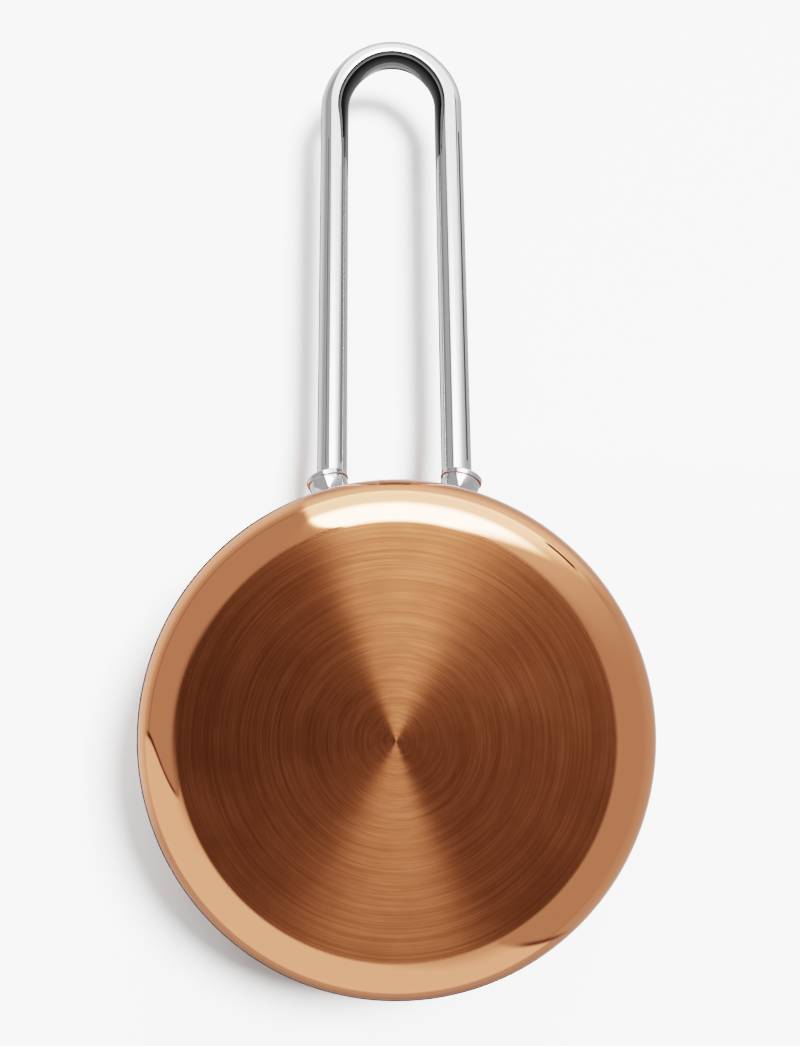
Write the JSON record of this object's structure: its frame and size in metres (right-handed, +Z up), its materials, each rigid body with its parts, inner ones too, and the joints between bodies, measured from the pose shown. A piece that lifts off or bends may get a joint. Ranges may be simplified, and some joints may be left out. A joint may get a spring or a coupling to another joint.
{
  "type": "small saucepan",
  "caption": "Straight-sided small saucepan in copper-clad three-ply metal, with a loop handle bent from one steel rod on collared, riveted bosses.",
  "frame": {"origin": "centre of the flat underside of the base", "axes": "+Z up along the pan's axis, +Y out along the handle, +X to the right of the handle"},
  "size_m": [0.145, 0.2891, 0.1013],
  "materials": {
    "copper": "polished copper, lathe-brushed on the flat base",
    "core_aluminium": "rolled, seen only as a line at the rim",
    "liner_steel": "satin",
    "handle_steel": "polished",
    "rivet_steel": "satin"
  },
  "bodies": {
    "root": {"copper_skin": "copper", "aluminium_core": "core_aluminium", "steel_liner": "liner_steel", "handle_rod": "handle_steel", "left_collar": "handle_steel", "right_collar": "handle_steel", "left_boss": "handle_steel", "right_boss": "handle_steel", "left_rivet": "rivet_steel", "right_rivet": "rivet_steel"}
  },
  "joints": []
}
